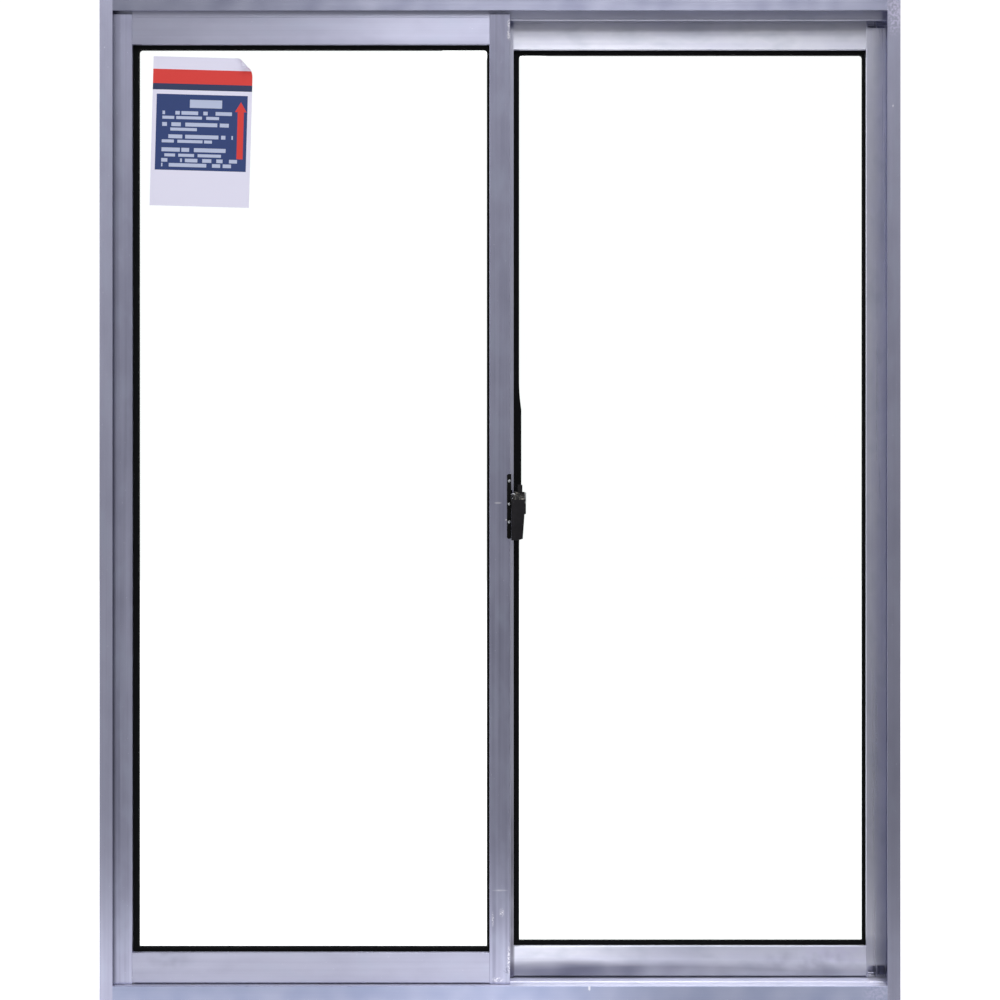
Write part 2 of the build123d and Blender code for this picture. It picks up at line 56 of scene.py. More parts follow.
MM = 0.001
BODY = "root"
WELD_DISTANCE = 0.001 * MM
FLAT_ANGLE = radians(1.0)
CREASE_ANGLE = radians(35.0)
WHITE = "#FFFFFF"

Source = Node | NodeSocket
Pair = tuple[float, float]
Triple = tuple[float, float, float]


def linear(hex_colour: str) -> tuple[float, ...]:
    """Turn an sRGB colour into the linear values that a shader takes.

    Args:
        hex_colour: Colour as six hex digits after a hash.

    Returns:
        Linear red, green and blue, with full opacity.
    """
    channels = [int(hex_colour[i : i + 2], 16) / 255 for i in (1, 3, 5)]
    low_end, slope, offset, gamma = 0.04045, 12.92, 0.055, 2.4
    values = [c / slope if c <= low_end else ((c + offset) / (1 + offset)) ** gamma for c in channels]
    return (*values, 1.0)


def add(tree: NodeTree, kind: str, inputs: dict | None = None, **settings: object) -> Node:
    """Add one shader node with its settings and inputs.

    Args:
        tree: Node tree that gets the node.
        kind: Blender's name for the type of node, after ShaderNode.
        inputs: For each input, by name or place, a value, a socket, or a node whose result it takes.
        settings: Properties of the node itself.

    Returns:
        The new node.
    """
    node = tree.nodes.new("ShaderNode" + kind)
    for name, value in settings.items():
        setattr(node, name, value)
    for name, value in (inputs or {}).items():
        if isinstance(value, Node):
            value = next(socket for socket in value.outputs if socket.enabled)
        if isinstance(value, NodeSocket):
            tree.links.new(value, node.inputs[name])
        else:
            node.inputs[name].default_value = value
    return node


def span(value: Source, reach: Pair, to: Pair = (0.0, 1.0)) -> dict:
    """Inputs that turn one range of a value into another."""
    return {"Value": value, "From Min": reach[0], "From Max": reach[1], "To Min": to[0], "To Max": to[1]}


def start_tree(owner: Material | World) -> NodeTree:
    """Give a material or world an empty node tree.

    Args:
        owner: The new material or world.

    Returns:
        Its node tree.
    """
    owner.use_nodes = True
    owner.node_tree.nodes.clear()
    return owner.node_tree


def start_material(name: str) -> tuple[Material, NodeTree]:
    """Make a material with an empty node tree.

    Args:
        name: Name of the material.

    Returns:
        The material and its tree.
    """
    material = bpy.data.materials.new(name)
    return material, start_tree(material)


def finish_material(material: Material, inputs: dict) -> Material:
    """Close a material with one Principled shader.

    Args:
        material: Material whose patterns are laid.
        inputs: Values and patterns for the shader.

    Returns:
        The finished material.
    """
    shader = add(material.node_tree, "BsdfPrincipled", inputs)
    add(material.node_tree, "OutputMaterial", {"Surface": shader})
    return material


class Grain(Enum):
    """Way in which a profile left its die, with the pattern stretch and the tangent that go with it."""

    LEVEL = ((0.0, 1.0, 1.0), (0.04, 0.55, 0.83))
    UPRIGHT = ((1.0, 1.0, 0.0), (0.83, 0.55, 0.04))

    def stretch(self, across: float, along: float) -> Triple:
        """Pattern scale per axis from a width across the grain and a length along it, both in metres."""
        return tuple(1 / across if axis else 1 / along for axis in self.value[0])

    @property
    def tangent(self) -> Triple:
        """Direction across the grain, tilted a little so that no main face is square to it."""
        return self.value[1]


@dataclass(frozen=True)
class Mark:
    """One scuff, nick, stain, patch of painted shade or patch of painted highlight, placed on the object in
    millimetres.

    It is at its full strength within the core, a share of its reach, and broken up by its speckle.
    """

    centre: Triple
    reach: Triple
    tone: str
    strength: float = 0.8
    speckle_mm: float = 1.2
    softness: float = 0.06
    core: float = 0.45

    def lay(self, tree: NodeTree, place: Source, colour: Source) -> Source:
        """Lay the mark over a colour.

        Args:
            tree: Node tree of the material.
            place: Position on the object.
            colour: Colour under the mark.

        Returns:
            Colour with the mark on it.
        """
        centre = tuple(c * MM for c in self.centre)
        scale = tuple(1 / (r * MM) for r in self.reach)
        away = add(tree, "VectorMath", {0: place, 1: centre}, operation="SUBTRACT")
        scaled = add(tree, "VectorMath", {0: away, 1: scale}, operation="MULTIPLY")
        distance = add(tree, "VectorMath", {0: scaled}, operation="LENGTH")
        near = add(tree, "MapRange", span(distance, (1.0, self.core), (0.0, self.strength)))
        speckle = add(tree, "TexNoise", {"Vector": place, "Scale": 1 / (self.speckle_mm * MM), "Detail": 1.0})
        broken = add(tree, "MapRange", span(speckle, (0.5 - self.softness, 0.5 + self.softness)))
        factor = add(tree, "Math", {0: near, 1: broken}, operation="MULTIPLY")
        return add(tree, "Mix", {0: factor, 6: colour, 7: linear(self.tone)}, data_type="RGBA")


@dataclass(frozen=True)
class ExtrudedAluminium:
    """Mill-finish aluminium, extruded: satin, with faint die lines, soft clouds and small specks."""

    name: str
    grain: Grain
    tone: str
    shade: str
    roughness: float = 0.36
    spread: float = 0.05
    anisotropy: float = 0.8
    # Width across the grain and length along it of the lines, bands, clouds and patches.
    line_mm: Pair = (1.7, 240.0)
    band_mm: Pair = (5.0, 480.0)
    cloud_mm: Pair = (42.0, 126.0)
    patch_mm: Pair = (15.0, 30.0)
    line_weight: float = 0.3
    band_weight: float = 0.6
    cloud_weight: float = 1.0
    patch_weight: float = 0.5
    line_depth_mm: float = 0.003
    line_relief: float = 0.5
    line_range: Pair = (0.7, 1.3)
    contrast: float = 0.28
    tint: str = "#B4BCD2"
    tint_share: float = 0.35
    tint_range: Pair = (0.5, 0.75)
    speck_mm: float = 2.4
    speck_tone: str = "#E4E4F4"
    speck_share: float = 0.5
    speck_range: Pair = (0.76, 0.82)
    speck_roughness: float = 0.4
    marks: tuple[Mark, ...] = ()

    def build(self) -> Material:
        """Build the material.

        Returns:
            The finished material.
        """
        material, tree = start_material(self.name)
        place = add(tree, "TexCoord").outputs["Object"]
        weights = (self.line_weight, self.band_weight, self.cloud_weight, self.patch_weight)
        sizes = (self.line_mm, self.band_mm, self.cloud_mm, self.patch_mm)
        layers, total = [], 0.0
        for weight, (width_mm, length_mm) in zip(weights, sizes):
            scale = self.grain.stretch(width_mm * MM, length_mm * MM)
            stretched = add(tree, "VectorMath", {0: place, 1: scale}, operation="MULTIPLY")
            layers.append(add(tree, "TexNoise", {"Vector": stretched, "Scale": 1.0, "Detail": 2.0}))
            total = add(tree, "Math", {0: layers[-1], 1: weight, 2: total}, operation="MULTIPLY_ADD")
        lines, bands, _, patches = layers
        middle = sum(weights) / 2
        swing = self.contrast * middle
        blend = add(tree, "MapRange", span(total, (middle - swing, middle + swing)))
        tinted = add(tree, "MapRange", span(patches, self.tint_range, (0.0, self.tint_share)))
        fine = {"Scale": 1 / (self.speck_mm * MM), "Detail": 1.0, "Roughness": self.speck_roughness}
        grit = add(tree, "TexNoise", {"Vector": place, **fine})
        speck = add(tree, "MapRange", span(grit, self.speck_range, (0.0, self.speck_share)))
        colour = linear(self.shade)
        for share, tone in ((blend, self.tone), (tinted, self.tint), (speck, self.speck_tone)):
            colour = add(tree, "Mix", {0: share, 6: colour, 7: linear(tone)}, data_type="RGBA")
        for mark in self.marks:
            colour = mark.lay(tree, place, colour)
        relief = add(tree, "Math", {0: lines, 1: bands}, operation="ADD")
        limits = (self.roughness + self.spread, self.roughness - self.spread)
        depth = self.line_depth_mm * MM
        inputs = {
            "Base Color": colour,
            "Roughness": add(tree, "MapRange", span(relief, self.line_range, limits)),
            "Normal": add(tree, "Bump", {"Height": relief, "Strength": self.line_relief, "Distance": depth}),
            "Tangent": add(tree, "CombineXYZ", dict(zip("XYZ", self.grain.tangent))),
            "Metallic": 1.0,
            "Anisotropic": self.anisotropy,
        }
        return finish_material(material, inputs)


@dataclass(frozen=True)
class PlainFinish:
    """Material of one tone, with a grain of a given size and depth and with clouds of many grains."""

    name: str
    tone: str
    shade: str
    roughness: float
    grain_mm: Pair
    metallic: float = 0.0
    spread: float = 0.06
    specular: float = 0.5
    shade_below: float = 0.75
    tone_above: float = 1.25
    relief: float = 0.6
    cloud_grains: float = 12.0
    cloud_range: Pair = (0.3, 0.7)

    def build(self) -> Material:
        """Build the material.

        Returns:
            The finished material.
        """
        material, tree = start_material(self.name)
        place = add(tree, "TexCoord").outputs["Object"]
        size, depth = (value * MM for value in self.grain_mm)
        grain, cloud = (
            add(tree, "TexNoise", {"Vector": place, "Scale": 1 / (share * size), "Detail": detail})
            for share, detail in ((1.0, 3.0), (self.cloud_grains, 2.0))
        )
        both = add(tree, "Math", {0: grain, 1: cloud}, operation="ADD")
        blend = add(tree, "MapRange", span(both, (self.shade_below, self.tone_above)))
        limits = (self.roughness - self.spread, self.roughness + self.spread)
        colours = {0: blend, 6: linear(self.shade), 7: linear(self.tone)}
        inputs = {
            "Base Color": add(tree, "Mix", colours, data_type="RGBA"),
            "Roughness": add(tree, "MapRange", span(cloud, self.cloud_range, limits)),
            "Normal": add(tree, "Bump", {"Height": grain, "Strength": self.relief, "Distance": depth}),
            "Metallic": self.metallic,
            "Specular IOR Level": self.specular,
        }
        return finish_material(material, inputs)


@dataclass(frozen=True)
class FloatGlass:
    """Clear float glass: colourless through its face, with a trace of dust that softens it in clouds."""

    name: str = "clear float glass"
    tone: str = "#FCFFFE"
    ior: float = 1.5
    dust_mm: float = 90.0
    dust_range: Pair = (0.45, 0.8)
    dust_roughness: float = 0.02

    def build(self) -> Material:
        """Build the material.

        Returns:
            The finished material.
        """
        material, tree = start_material(self.name)
        place = add(tree, "TexCoord").outputs["Object"]
        dust = add(tree, "TexNoise", {"Vector": place, "Scale": 1 / (self.dust_mm * MM), "Detail": 4.0})
        inputs = {
            "Base Color": linear(self.tone),
            "Roughness": add(tree, "MapRange", span(dust, self.dust_range, (0.0, self.dust_roughness))),
            "IOR": self.ior,
            "Transmission Weight": 1.0,
        }
        return finish_material(material, inputs)


@dataclass(frozen=True)
class Block:
    """Printed block on the label, in millimetres from its lower left corner."""

    left: float
    right: float
    foot: float
    head: float
    colour: str
    broken: bool = False

    def mask(self, tree: NodeTree, across: Source, up: Source) -> Source:
        """Mask that is one inside the block.

        Args:
            tree: Node tree of the material.
            across: Distance from the left edge.
            up: Distance from the lower edge.

        Returns:
            The mask.
        """
        sides = [
            add(tree, "Math", {0: value, 1: (low + high) / 2, 2: (high - low) / 2}, operation="COMPARE")
            for value, low, high in ((across, self.left, self.right), (up, self.foot, self.head))
        ]
        return add(tree, "Math", dict(enumerate(sides)), operation="MULTIPLY")


@dataclass(frozen=True)
class PrintedPaper:
    """White coated paper with plain printed blocks, bare of words."""

    name: str
    width_mm: float
    height_mm: float
    blocks: tuple[Block, ...]
    arrow: Block
    paper: str
    roughness: float = 0.5
    fibre_mm: float = 1.5
    fibre_depth_mm: float = 0.03
    fibre_relief: float = 0.3
    gap_mm: float = 7.0
    gap_level: float = 0.4
    line_step: float = 10.0
    arrow_slope: float = 1.72
    shaft_share: float = 0.54

    def build(self) -> Material:
        """Build the material on the sheet's own UV map.

        Returns:
            The finished material.
        """
        material, tree = start_material(self.name)
        uv = add(tree, "TexCoord").outputs["UV"]
        size = (self.width_mm, self.height_mm, 1.0)
        sized = add(tree, "VectorMath", {0: uv, 1: size}, operation="MULTIPLY")
        split = add(tree, "SeparateXYZ", {0: sized})
        across, up = split.outputs["X"], split.outputs["Y"]
        colour = linear(self.paper)
        for block in (*self.blocks, self.arrow):
            inside = (self.arrow_mask if block is self.arrow else block.mask)(tree, across, up)
            if block.broken:
                line = add(tree, "CombineXYZ", {"X": across, "Y": self.line_step * block.head})
                runs = add(tree, "TexNoise", {"Vector": line, "Scale": 1 / self.gap_mm, "Detail": 0.0})
                filled = add(tree, "Math", {0: runs, 1: self.gap_level}, operation="GREATER_THAN")
                inside = add(tree, "Math", {0: inside, 1: filled}, operation="MULTIPLY")
            colour = add(tree, "Mix", {0: inside, 6: colour, 7: linear(block.colour)}, data_type="RGBA")
        fibre = add(tree, "TexNoise", {"Vector": sized, "Scale": 1 / self.fibre_mm, "Detail": 3.0})
        depth = self.fibre_depth_mm * MM
        inputs = {
            "Base Color": colour,
            "Roughness": self.roughness,
            "Normal": add(tree, "Bump", {"Height": fibre, "Strength": self.fibre_relief, "Distance": depth}),
        }
        return finish_material(material, inputs)

    def arrow_mask(self, tree: NodeTree, across: Source, up: Source) -> Source:
        """Mask of an upward arrow that fills the arrow block.

        Args:
            tree: Node tree of the material.
            across: Distance from the left edge.
            up: Distance from the lower edge.

        Returns:
            The mask.
        """
        middle = (self.arrow.left + self.arrow.right) / 2
        half_width = (self.arrow.right - self.arrow.left) / 2
        tip_foot = self.arrow.head - self.arrow_slope * half_width
        half_shaft = self.shaft_share * half_width
        shaft = replace(self.arrow, left=middle - half_shaft, right=middle + half_shaft, head=tip_foot)
        away = add(tree, "Math", {0: across, 1: middle}, operation="SUBTRACT")
        off = add(tree, "Math", {0: away}, operation="ABSOLUTE")
        edge = add(tree, "Math", {0: off, 1: self.arrow_slope, 2: up}, operation="MULTIPLY_ADD")
        under = add(tree, "Math", {0: edge, 1: self.arrow.head}, operation="LESS_THAN")
        over = add(tree, "Math", {0: up, 1: tip_foot}, operation="GREATER_THAN")
        tip = add(tree, "Math", {0: under, 1: over}, operation="MULTIPLY")
        return add(tree, "Math", {0: shaft.mask(tree, across, up), 1: tip}, operation="MAXIMUM")


def finish_piece(
    bm: BMesh,
    name: str,
    material: Material,
    replaced: tuple[str, ...] = (),
    second: Material | None = None,
) -> Object:
    """Turn a finished bmesh into a piece that rides on the frame.

    Args:
        bm: Mesh in the frame's own place, freed here.
        name: Name of the piece.
        material: Its finish.
        replaced: CAD nodes that the piece stands for.
        second: Finish of the faces whose material number is 1.

    Returns:
        The new object.
    """
    mesh = bpy.data.meshes.new(name)
    bm.to_mesh(mesh)
    bm.free()
    mesh.materials.append(material)
    if second:
        mesh.materials.append(second)
    mesh.polygons.foreach_set("use_smooth", [True] * len(mesh.polygons))
    mesh.set_sharp_from_angle(angle=CREASE_ANGLE)
    piece = bpy.data.objects.new(name, mesh)
    bpy.context.scene.collection.objects.link(piece)
    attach(piece, BODY)
    if replaced:
        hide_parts(*replaced)
    log.info("%s: %d faces", name, len(mesh.polygons))
    return piece


def rounded_copy(node: str, radius_mm: float, segments: int = 3) -> BMesh:
    """Copy a CAD node's mesh and round its sharp edges.

    Args:
        node: Name of the CAD node.
        radius_mm: Radius of the rounded edges.
        segments: Steps in each rounded edge.

    Returns:
        The rounded mesh.
    """
    bm = bmesh.new()
    bm.from_mesh(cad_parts[node].data)
    bmesh.ops.remove_doubles(bm, verts=bm.verts, dist=WELD_DISTANCE)
    bmesh.ops.dissolve_limit(bm, angle_limit=FLAT_ANGLE, verts=bm.verts, edges=bm.edges)
    sharp = [e for e in bm.edges if e.is_manifold and e.calc_face_angle() > CREASE_ANGLE]
    bmesh.ops.bevel(
        bm,
        geom=sharp,
        offset=radius_mm * MM,
        offset_type="OFFSET",
        segments=segments,
        profile=0.5,
        affect="EDGES",
        clamp_overlap=True,
        material=-1,
    )
    return bm


@dataclass
class Profiles:
    """Aluminium frame and sashes: CAD nodes that get their finish, marks of use, painted shade and painted
    highlight.
    """

    # Bare metal as the die left it: satin grey with a violet cast, and soft lines along each upright. The
    # lines are drawn coarser than the real ones, which are under 0.2 mm wide and too fine to show.
    upright: ExtrudedAluminium = ExtrudedAluminium(
        "mill aluminium, extruded jamb", Grain.UPRIGHT, "#BFC0D8", "#AAABC3"
    )
    # The same metal lying level spreads light up and down; its tone is painted paler than the uprights'
    #     # as painted light, and its lines nearly vanish.
    level: ExtrudedAluminium = ExtrudedAluminium(
        "mill aluminium, extruded sill",
        Grain.LEVEL,
        "#E6E7F9",
        "#D6D7EA",
        roughness=0.46,
        anisotropy=0.85,
        line_weight=0.15,
        band_weight=0.3,
    )
    bright: str = "#F2F1FC"
    lavender: str = "#E2DDF8"
    dull: str = "#7E7F96"
    # The lips that face the room are painted greyer than the tracks behind them, as painted shade that
    #     # stands in for the brighter light on the recessed tracks, and the sill's is cooler than the head's.
    sill_lip_painted_shade: Mark = Mark((0.0, -27.0, 500.0), (4000.0, 0.6, 4000.0), "#A4ADCE", 1.6, 30.0, 1.4)
    head_lip_painted_shade: Mark = replace(sill_lip_painted_shade, tone="#8C8FA8")

    def marks(self) -> tuple[Mark, ...]:
        """Scuffs, nicks and stains where the real window has them, and painted shade and highlight, in
        millimetres.

        Returns:
            Marks and patches of painted shade and highlight on the uprights and levels alike, each small and
            at its own place.
        """
        # Centre, reach, tone, strength, speckle and softness of each, laid in this order.
        rows = (
            ((8.8, -21.0, 966.0), (2.6, 6.0, 6.0), self.bright, 1.0, 0.9),
            ((1.6, -21.0, 86.5), (3.0, 2.5, 5.0), self.bright, 0.8, 0.9),
            ((-7.2, -21.0, 80.0), (1.2, 3.0, 9.0), self.bright, 0.7),
            ((9.8, -18.0, 40.0), (3.0, 12.0, 19.0), self.bright, 0.9, 1.6),
            ((-2.0, -21.0, 19.5), (6.5, 3.0, 3.0), self.bright, 0.8, 3.0),
            ((6.3, -21.0, 29.0), (3.4, 3.0, 6.0), self.dull, 0.6, 3.0),
            ((-2.1, -21.0, 497.0), (4.4, 2.0, 1.2), self.bright, 1.5, 3.0, 1.0),
            ((6.3, -21.0, 480.0), (1.3, 2.0, 1.4), self.bright, 1.0, 2.0),
            ((393.5, -27.0, 985.0), (10.0, 6.0, 24.0), self.lavender, 0.7, 2.2, 0.1),
            ((392.4, -27.0, 894.0), (1.0, 2.0, 2.2), self.bright, 0.9, 2.0),
            ((377.6, 3.0, 60.0), (1.6, 3.0, 4.2), self.bright, 1.0, 1.8),
            ((371.8, 3.0, 937.0), (2.0, 3.0, 2.0), self.bright, 0.8),
            ((89.2, -27.0, 12.6), (1.6, 2.5, 3.4), self.bright, 1.0, 2.0),
            ((376.0, -27.0, 8.0), (16.0, 4.0, 12.0), self.lavender, 0.4, 3.0, 0.1),
            # Painted highlight on the sill's front rib and deck beside the right jamb.
            ((376.0, -12.0, 14.5), (14.0, 17.0, 2.0), self.bright, 0.75, 2.4),
            # Broad soft patches on the bottom rails: a paler one near the right end of the rear rail and two
            # darker ones.
            ((345.0, 3.0, 42.0), (46.0, 3.0, 15.0), self.lavender, 0.5, 9.0, 0.16),
            ((312.0, 3.0, 32.0), (60.0, 3.0, 16.0), self.dull, 0.28, 12.0, 0.16),
            ((-330.0, -21.0, 40.0), (26.0, 3.0, 12.0), self.dull, 0.25, 12.0, 0.16),
            # Painted shade: a dark band along the foot of the rear bottom rail, in two overlapping parts, and
            # a greyer patch above it.
            ((165.0, 3.0, 19.0), (310.0, 3.0, 14.5), "#66677C", 1.4, 40.0, 1.2),
            ((50.0, 3.0, 23.0), (80.0, 3.0, 13.0), "#66677C", 0.9, 40.0, 1.2),
            ((270.0, 3.0, 42.0), (190.0, 3.0, 20.0), "#A0A3BC", 0.8, 60.0, 1.2),
            ((9.0, -21.0, 977.0), (2.2, 6.0, 7.0), self.bright, 1.0, 0.8),
            # Painted shade on the narrow strip of the rear meeting stile beside the front one, over its lower
            # part.
            ((12.4, 3.0, 60.0), (2.8, 3.0, 170.0), "#56525F", 1.3, 20.0, 1.0),
            # Painted shade at the foot of the rear outer stile, by the right jamb.
            ((387.0, 8.0, 21.0), (16.0, 24.0, 8.0), "#33333F", 1.6, 60.0, 1.0),
            ((0.2, -21.0, 108.8), (9.0, 2.0, 1.1), self.bright, 0.9, 5.0, 0.5),
        )
        return tuple(Mark(*row) for row in rows)

    def groups(self) -> tuple[tuple[ExtrudedAluminium, tuple[str, ...]], ...]:
        """Finish of each group of profiles: copies of one metal with tones painted lighter and darker for
        their light and shade.

        Returns:
            Pairs of a finish and the nodes that it dresses.
        """
        marks = self.marks()
        upright, level = (replace(finish, marks=marks) for finish in (self.upright, self.level))
        return (
            (upright, ("frame_jamb_left", "frame_jamb_right")),
            # Front stiles: tone painted darker than the jambs' for the light that falls on them.
            (
                replace(
                    upright,
                    name="mill aluminium, extruded front stile",
                    tone="#B9BAD3",
                    shade="#9A9BB3",
                    line_mm=(2.4, 240.0),
                    line_weight=0.7,
                    band_weight=0.8,
                ),
                ("front_outer_stile", "front_meeting_stile"),
            ),
            # Rear stiles: tone painted much paler, as painted light against the shade of the jamb and head
            # around them.
            (
                replace(
                    upright,
                    name="mill aluminium, extruded rear stile",
                    tone="#F2F3FF",
                    shade="#DDDEF2",
                    roughness=0.31,
                ),
                ("rear_outer_stile", "rear_meeting_stile"),
            ),
            (replace(level, marks=(self.sill_lip_painted_shade, *marks)), ("frame_sill",)),
            (
                replace(level, name="mill aluminium, extruded head", marks=(self.head_lip_painted_shade, *marks)),
                ("frame_head",),
            ),
            # Front rails: tone painted darker than the sill's and head's for the light that falls on them.
            (
                replace(level, name="mill aluminium, extruded front rail", tone="#CBCCE2", shade="#B9BAD1"),
                ("front_bottom_rail", "front_top_rail"),
            ),
            # Rear rails: tone painted paler, as painted light against the shade under the head.
            (
                replace(level, name="mill aluminium, extruded rear rail", tone="#F4F5FF", shade="#E2E3F6"),
                ("rear_bottom_rail", "rear_top_rail"),
            ),
        )

    def build(self) -> None:
        """Dress every profile in the finish of its group."""
        for finish, nodes in self.groups():
            material = finish.build()
            for node in nodes:
                dress(node, material)


def dress(node: str, material: Material) -> None:
    """Give a CAD node its finish.

    Args:
        node: Name of the CAD node.
        material: Its finish.
    """
    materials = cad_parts[node].data.materials
    materials.clear()
    materials.append(material)
    log.info("%s: %s", node, material.name)


@dataclass
class Glazing:
    """Panes and the rubber that holds them."""

    edge_radius_mm: float = 0.6
    # Flat and colourless: the white behind shows through it, with only a trace of dust to soften it.
    glass: FloatGlass = FloatGlass()
    # Matt and almost without shine, it draws a deep black line round each pane.
    rubber: PlainFinish = PlainFinish(
        "black glazing rubber, extruded", "#08090C", "#040506", 0.6, grain_mm=(0.5, 0.02), specular=0.1
    )
    # Run of the rear rubber that has worked loose: its heights, its lip's place along X, how deep it lies
    # and how far it moves along X and Y.
    loose_span_mm: Pair = (452.0, 619.0)
    loose_lip_mm: Pair = (17.0, 19.6)
    loose_depth_mm: float = 11.0
    loose_shift_mm: Pair = (2.2, -1.0)
    loose_steps: int = 36
    loose_steepness: float = 4.0

    def build(self) -> None:
        """Dress the panes and round the rubber."""
        glass = self.glass.build()
        rubber = self.rubber.build()
        for sash in ("front", "rear"):
            dress(f"{sash}_glass", glass)
            node = f"{sash}_gasket"
            bm = rounded_copy(node, self.edge_radius_mm)
            if sash == "rear":
                self.loosen(bm)
            finish_piece(bm, f"{sash}_glazing_rubber", rubber, (node,))

    def loosen(self, bm: BMesh) -> None:
        """Let the rubber's lip stand off the glass behind the latch, where it has worked loose.

        Args:
            bm: Rubber of the rear pane, changed in place.
        """
        foot, head = self.loose_span_mm
        near, far = self.loose_lip_mm
        for step in range(self.loose_steps + 1):
            bmesh.ops.bisect_plane(
                bm,
                geom=bm.verts[:] + bm.edges[:] + bm.faces[:],
                plane_co=(0.0, 0.0, (foot + (head - foot) * step / self.loose_steps) * MM),
                plane_no=(0.0, 0.0, 1.0),
            )
        for vert in bm.verts:
            across, depth, height = vert.co / MM
            if near < across < far and depth < self.loose_depth_mm and foot < height < head:
                share = min(1.0, self.loose_steepness * sin(pi * (height - foot) / (head - foot)) ** 2)
                vert.co.x += share * self.loose_shift_mm[0] * MM
                vert.co.y += share * self.loose_shift_mm[1] * MM


@dataclass
class RunningGear:
    """Rollers and slides inside the sashes."""

    # Milky off-white blocks at the top corners.
    nylon: PlainFinish = PlainFinish("white nylon, moulded", "#E6E3DA", "#D6D2C6", 0.4, grain_mm=(0.6, 0.01))
    # Dense black wheels with the soft shine of a turned surface.
    acetal: PlainFinish = PlainFinish(
        "black acetal, turned", "#232326", "#161618", 0.35, grain_mm=(0.8, 0.008), specular=0.4
    )
    # Cool bright plate with the cloudy bloom of zinc, drawn coarser than the real crystals.
    steel: PlainFinish = PlainFinish(
        "zinc-plated steel, pressed", "#C6C8CC", "#A5A7AC", 0.32, grain_mm=(1.2, 0.004), metallic=1.0
    )

    def build(self) -> None:
        """Dress the running gear."""
        for finish, part in (
            (self.acetal, "roller_wheels"),
            (self.nylon, "top_slides"),
            (self.steel, "roller_housings"),
        ):
            material = finish.build()
            for sash in ("front", "rear"):
                dress(f"{sash}_{part}", material)


@dataclass
class BrushSeals:
    """Woven pile in the outer stiles: a thin backing strip with tufts that stand on it."""

    backing_mm: float = 0.7
    pitch_mm: float = 2.6
    tuft_radius_mm: float = 0.62
    tip_radius_mm: float = 0.3
    rows_mm: tuple[float, ...] = (-1.9, -0.65, 0.65, 1.9)
    lean_mm: float = 0.5
    sides: int = 5
    block_steps: int = 12
    seed: int = 7
    # Dull grey fuzz that swallows light. The tufts are drawn coarser than real pile, whose hairs are under
    # 0.1 mm thick.
    pile: PlainFinish = PlainFinish(
        "grey brush pile, woven", "#77787D", "#4A4B50", 0.85, grain_mm=(0.35, 0.1), spread=0.04
    )

    def strips(self, node: str) -> list[tuple[Vector, Vector]]:
        """Boxes of the two solid strips of one node.

        Args:
            node: Name of the CAD node.

        Returns:
            Lowest and highest corner of each strip, in metres.
        """
        low, high = (Vector(corner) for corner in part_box(node))
        points = [vert.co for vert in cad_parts[node].data.vertices]
        middle = (low.y + high.y) / 2
        inner_low = max(point.y for point in points if point.y < middle)
        inner_high = min(point.y for point in points if point.y > middle)
        return [(low, Vector((high.x, inner_low, high.z))), (Vector((low.x, inner_high, low.z)), high)]

    def strip(self, bm: BMesh, low: Vector, high: Vector, outward: int, draw: Random) -> None:
        """Add one strip: its backing on the far side from the rib, its tufts towards the rib.

        Args:
            bm: Mesh that gets the strip.
            low: Lowest corner of the strip's box.
            high: Highest corner of the strip's box.
            outward: Side of the backing along Y, 1 or -1.
            draw: Source of the tufts' small differences.
        """
        backing = self.backing_mm * MM
        seat = high.y if outward > 0 else low.y
        middle = (low + high) / 2
        size = Vector((high.x - low.x, backing, high.z - low.z))
        place = Vector((middle.x, seat - outward * backing / 2, middle.z))
        bmesh.ops.create_cube(bm, size=1.0, matrix=Matrix.LocRotScale(place, None, size))
        length = high.y - low.y - backing
        stand = Matrix.Rotation(outward * pi / 2, 4, "X")
        block = bmesh.new()
        for step in range(self.block_steps):
            for row in self.rows_mm:
                lean = Vector((draw.uniform(-1, 1), 0.0, draw.uniform(-1, 1))) * self.lean_mm * MM
                foot = Vector(
                    (
                        middle.x + row * MM,
                        seat - outward * (backing + length / 2),
                        low.z + (step + 0.5) * self.pitch_mm * MM,
                    )
                )
                tuft = bmesh.ops.create_cone(
                    block,
                    cap_ends=True,
                    segments=self.sides,
                    radius1=self.tuft_radius_mm * MM,
                    radius2=self.tip_radius_mm * MM,
                    depth=length,
                    matrix=Matrix.Translation(foot) @ stand,
                )
                tips = [v for v in tuft["verts"] if (v.co.y - foot.y) * outward < 0]
                bmesh.ops.translate(block, verts=tips, vec=lean)
        tufts = bpy.data.meshes.new("pile_block")
        block.to_mesh(tufts)
        block.free()
        rise = self.block_steps * self.pitch_mm * MM
        for _ in range(int((high.z - low.z) / rise)):
            bm.from_mesh(tufts)
            tufts.transform(Matrix.Translation((0.0, 0.0, rise)))
        bpy.data.meshes.remove(tufts)

    def build(self) -> None:
        """Build the pile of both sashes."""
        material = self.pile.build()
        draw = Random(self.seed)
        for sash in ("front", "rear"):
            node = f"{sash}_brush_seals"
            bm = bmesh.new()
            for (low, high), outward in zip(self.strips(node), (-1, 1)):
                self.strip(bm, low, high, outward, draw)
            finish_piece(bm, f"{sash}_brush_pile", material, (node,))


def faces_round(verts: Iterable[BMVert]) -> list[BMFace]:
    """Faces that touch any of the vertices, each once."""
    return list(dict.fromkeys(face for vert in verts for face in vert.link_faces))


def pull_out(bm: BMesh, edges: list[BMEdge], rise: float) -> tuple[list[BMEdge], list[BMVert]]:
    """Extrude edges upwards.

    Args:
        bm: Mesh of the edges.
        edges: Edges to extrude.
        rise: Distance along Z.

    Returns:
        The new edges and the new vertices.
    """
    grown = bmesh.ops.extrude_edge_only(bm, edges=edges)["geom"]
    verts = [item for item in grown if isinstance(item, BMVert)]
    bmesh.ops.translate(bm, verts=verts, vec=(0.0, 0.0, rise))
    return [item for item in grown if isinstance(item, BMEdge)], verts


